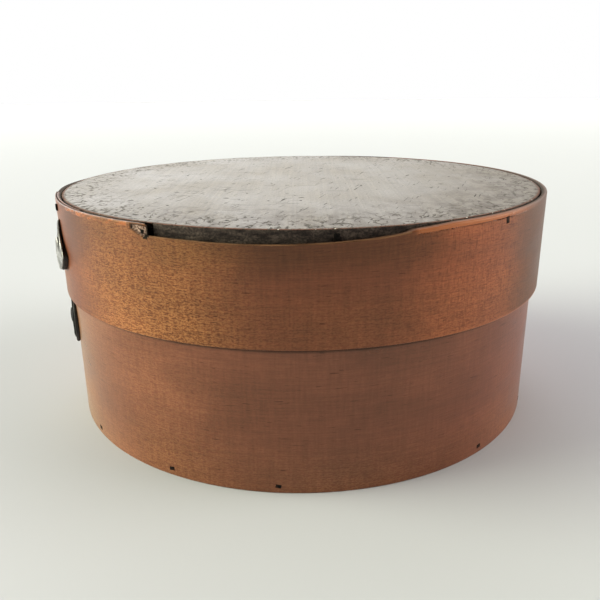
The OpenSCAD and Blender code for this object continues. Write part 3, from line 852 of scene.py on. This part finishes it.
# The lid's board: a round softwood board set flush in the top of the rim, its grain running front to back.
# Its old dark paint is brushed along the grain, pitted and crackled, and worn through along the edge.
board_columns = spaced(
    -math.pi, (math.radians(-33), math.radians(1)), (math.radians(-25), math.radians(0.2)),
    (math.radians(30), math.radians(0.35)), (math.pi, math.radians(1)))
board_r, board_high = round_size("lid_board")[1::2]
board_mesh = round_board("lid_board", board_columns)
board_bare = board_mesh.verts.layers.float.new("bare")
board_edge = board_mesh.verts.layers.float.new("edge")
board_front_shade = board_mesh.verts.layers.float.new("stain")

# Crackle grows towards the edge, and painted shade towards the edge at the front and right. The top's corner
# is bare and worn, and the edge is uneven. A notch is gouged out of the edge at the left end of the break.
notch_angle, notch_half, notch_deep = -28.6, 0.9, 3 * mm
for vertex in board_mesh.verts:
    span = vertex.co.xy.length
    degrees = math.degrees(math.atan2(vertex.co.x, -vertex.co.y))
    drop = board_high - vertex.co.z
    vertex[board_edge] = share(span, board_r - 35 * mm, board_r)
    front = share(math.cos(math.radians(degrees - 35)), -0.2, 0.9)
    vertex[board_front_shade] = front * share(span, board_r - 60 * mm, board_r)
    outward = 0.0
    if drop < 2.5 * mm:
        worn = share(span, board_r - 2.5 * mm, board_r)
        corner = share(span, board_r - 1.2 * mm, board_r - 0.5 * mm)
        vertex[board_bare] = corner * (1 - share(drop, 0.3 * mm, 1.2 * mm))
        vertex.co.z -= worn * 0.06 * mm * (1 + noise.noise(vertex.co * 150))
        vertex.co.z += 0.06 * mm * (noise.noise(vertex.co * 30) - 0.6)
    if span > board_r - 1 * mm:
        outward = 0.1 * mm - 0.12 * mm * noise.noise(Vector((degrees * 0.9, vertex.co.z * 500, 0)))
    gouge = 1 - share(abs(degrees - notch_angle), notch_half * 0.75, notch_half)
    if span > board_r - notch_deep and drop > 0.25 * mm:
        outward -= gouge * (span - board_r + notch_deep)
    vertex.co.x *= 1 + outward / max(span, 1 * mm)
    vertex.co.y *= 1 + outward / max(span, 1 * mm)


def worn_paint(name):
    """Dark oil paint on wood: planing ridges along Y, blotches, pits, scratches, crackle towards the edge,
    and corners worn to the red-brown ground with a few pale chips."""
    material, tree, shader = new_material(name)
    place = add_node(tree, "ShaderNodeTexCoord").outputs["Object"]
    ridges = drawn_noise(tree, place, (1.2 * mm, 60 * mm, 5 * mm), 2.0, 0.3)
    bands = drawn_noise(tree, place, (14 * mm, 120 * mm, 20 * mm), 2.0, 0.3)
    blotch = drawn_noise(tree, place, (28 * mm, 36 * mm, 30 * mm), 4.0, 0.5)
    grit = drawn_noise(tree, place, (1.0 * mm, 1.5 * mm, 1 * mm))
    tone = number(tree, "MULTIPLY", ridges, 0.25)
    for layer, part in ((grit, 0.35), (bands, 0.1), (blotch, 0.3)):
        tone = number(tree, "MULTIPLY_ADD", layer, part, tone)
    tones = [(0.4, (0.078, 0.06, 0.044)), (0.5, (0.118, 0.094, 0.07)), (0.6, (0.165, 0.134, 0.1))]
    paint = ramp(tree, tone, tones)

    def hollows(width, length):
        """Small hollows, at most one in each cell of a given size, in a share of the cells."""
        chosen, size = 0.5, 0.1
        laid = add_node(tree, "ShaderNodeMapping", {"Vector": place, "Scale": (1 / width, 1 / length, 0)})
        cells = add_node(tree, "ShaderNodeTexVoronoi", {"Vector": laid.outputs[0], "Scale": 1.0})
        fray = number(tree, "SUBTRACT", grit, 0.5)
        ragged = number(tree, "MULTIPLY_ADD", fray, size, cells.outputs["Distance"])
        there = ramp(tree, cells.outputs["Color"], [(1 - chosen - 0.005, 0.0), (1 - chosen + 0.005, 1.0)])
        return number(tree, "MULTIPLY", ramp(tree, ragged, [(size * 0.6, 1.0), (size, 0.0)]), there)

    pits = number(tree, "MAXIMUM", hollows(6 * mm, 8 * mm), hollows(14 * mm, 7 * mm))
    across = drawn_noise(tree, place, (16 * mm, 0.6 * mm, 5 * mm), 1.0, 0.3, 0.25)
    lengthwise = drawn_noise(tree, place, (0.6 * mm, 12 * mm, 5 * mm), 1.0, 0.4, 0.35)
    scores = number(tree, "MAXIMUM", across, lengthwise)
    pits = number(tree, "MAXIMUM", pits, ramp(tree, scores, [(0.71, 0.0), (0.75, 0.95)]))
    waves = add_node(tree, "ShaderNodeTexNoise", {"Vector": place, "Scale": 400.0}).outputs[1]
    bent = mixed(tree, 0.003, place, waves)
    shrunk = add_node(tree, "ShaderNodeMapping", {"Vector": bent, "Scale": (330.0, 200.0, 0)})
    crackle = add_node(tree, "ShaderNodeTexVoronoi", {"Vector": shrunk.outputs[0], "Scale": 1.0},
                       feature="DISTANCE_TO_EDGE").outputs["Distance"]
    outer = ramp(tree, mark(tree, "edge"), [(0.2, 0.0), (1.0, 1.0)])
    broken = drawn_noise(tree, place, (2.5 * mm, 3.5 * mm, 3 * mm), 2.0)
    cracked = number(tree, "MULTIPLY", outer, ramp(tree, broken, [(0.48, 0.0), (0.58, 0.9)]))
    cracked = number(tree, "MULTIPLY", cracked, ramp(tree, crackle, [(0.02, 0.85), (0.1, 0.0)]))
    pits = number(tree, "MAXIMUM", pits, cracked)
    # Painted shade: the paint is darker and mottled towards the edge at the front and right
    mottle = drawn_noise(tree, place, (6 * mm, 9 * mm, 6 * mm), 4.0, 0.6)
    front_shade = number(tree, "MULTIPLY", mark(tree, "stain"), ramp(tree, mottle, [(0.42, 0.25), (0.62, 0.95)]))
    paint = mixed(tree, front_shade, paint, (0.058, 0.037, 0.026, 1))
    paint = mixed(tree, pits, paint, (0.009, 0.007, 0.006, 1))
    bare = mark(tree, "bare")
    chipped = number(tree, "MULTIPLY", bare, ramp(tree, grit, [(0.34, 0.0), (0.5, 1.0)]))
    paint = mixed(tree, chipped, paint, (0.13, 0.045, 0.027, 1))
    flecked = drawn_noise(tree, place, (1.6 * mm, 1.6 * mm, 1.6 * mm), 1.0)
    chips = number(tree, "MULTIPLY", bare, ramp(tree, flecked, [(0.7, 0.0), (0.72, 1.0)]))
    paint = mixed(tree, chips, paint, (0.6, 0.55, 0.5, 1))
    tree.links.new(paint, shader.inputs["Base Color"])
    shine = number(tree, "MULTIPLY_ADD", front_shade, 0.12, ramp(tree, blotch, [(0.35, 0.4), (0.65, 0.5)]))
    dull = number(tree, "MAXIMUM", pits, bare)
    tree.links.new(mixed(tree, dull, shine, (0.95, 0.95, 0.95, 1)), shader.inputs["Roughness"])
    shader.inputs["Specular IOR Level"].default_value = 0.85
    shader.inputs["Specular Tint"].default_value = (1, 0.97, 0.9, 1)
    relief = number(tree, "MULTIPLY_ADD", grit, 0.8, number(tree, "MULTIPLY", ridges, 0.6))
    relief = number(tree, "MULTIPLY_ADD", pits, -2.0, relief)
    add_relief(tree, shader, relief, 1.0, 0.22 * mm)
    return material


def grimy_edge(name):
    """The board's sawn edge: end grain and side grain soaked dark with grime, dry and rough."""
    material, tree, shader = new_material(name)
    place = add_node(tree, "ShaderNodeTexCoord").outputs["Object"]
    darkening = drawn_noise(tree, place, (5 * mm, 5 * mm, 1.5 * mm), 4.0)
    crumbs = drawn_noise(tree, place, (0.8 * mm, 0.8 * mm, 0.6 * mm), 3.0)
    tint = ramp(tree, darkening, [(0.35, (0.025, 0.0165, 0.0145)), (0.65, (0.095, 0.07, 0.058))])
    tint = tinted(tree, tint, ramp(tree, crumbs, [(0.38, 0.4), (0.62, 1.0)]))
    tree.links.new(tint, shader.inputs["Base Color"])
    tree.links.new(ramp(tree, crumbs, [(0.3, 0.7), (0.7, 0.9)]), shader.inputs["Roughness"])
    shader.inputs["Specular IOR Level"].default_value = 0.25
    add_relief(tree, shader, crumbs, 0.8, 0.3 * mm)
    return material


for face in board_mesh.faces:
    if abs(face.normal.z) < 0.6:
        face.material_index = 1
lid_board = mesh_object("lid_top", board_mesh, worn_paint("old_dark_paint"), grimy_edge("board_edge"))
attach(lid_board, "lid")
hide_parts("lid_board")

# The lid's nails: the same iron brads, driven through the rim into the board's edge. Two stand proud, one of
# them in the board's edge where the rim has broken away, and one lies deep in the flake.
lid_nail_z = bearing("lid_nails")[1]
nail_shift = 0.006
lid_nail_mesh = bmesh.new()
for angle, reach in round_places("lid_nails"):
    degrees = math.degrees(angle)
    width, height, sunk, lowered = 1.9 * mm, 2.6 * mm, head_sunk, 0.8 * mm
    if abs(degrees + 64) < 3 or abs(degrees - 6) < 3:
        sunk = 0
    if flake_left < degrees < flake_right:
        width, height, sunk, lowered = 1.1 * mm, 1.5 * mm, flake_sink + 0.35 * mm, 0.7 * mm
        angle -= nail_shift
    place = on_side(angle, reach - sunk, lid_nail_z - lowered)
    add_brad(lid_nail_mesh, place, width, height, chance)
lid_nails = mesh_object("lid_brads", lid_nail_mesh, iron)
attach(lid_nails, "lid")
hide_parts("lid_nails")

# The rim's seam: a row of iron tacks and a rivet like the wall's, a little nearer the front. Its tinned cap
# has kept some shine and lifted at its lower edge. Cap and pad are drawn in towards their tops.
lid_tacks = mesh_object("rim_tacks", tack_row("lid_seam_tacks", rim_out), iron)
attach(lid_tacks, "lid")
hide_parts("lid_seam_tacks")
tin = tin_plate("worn_tin", (0.16, 0.155, 0.145), (0.66, 0.64, 0.6), 0.33)
rivet_set("lid", "lid", rim_out, tin, math.radians(4.5), (0.1, 0.3))
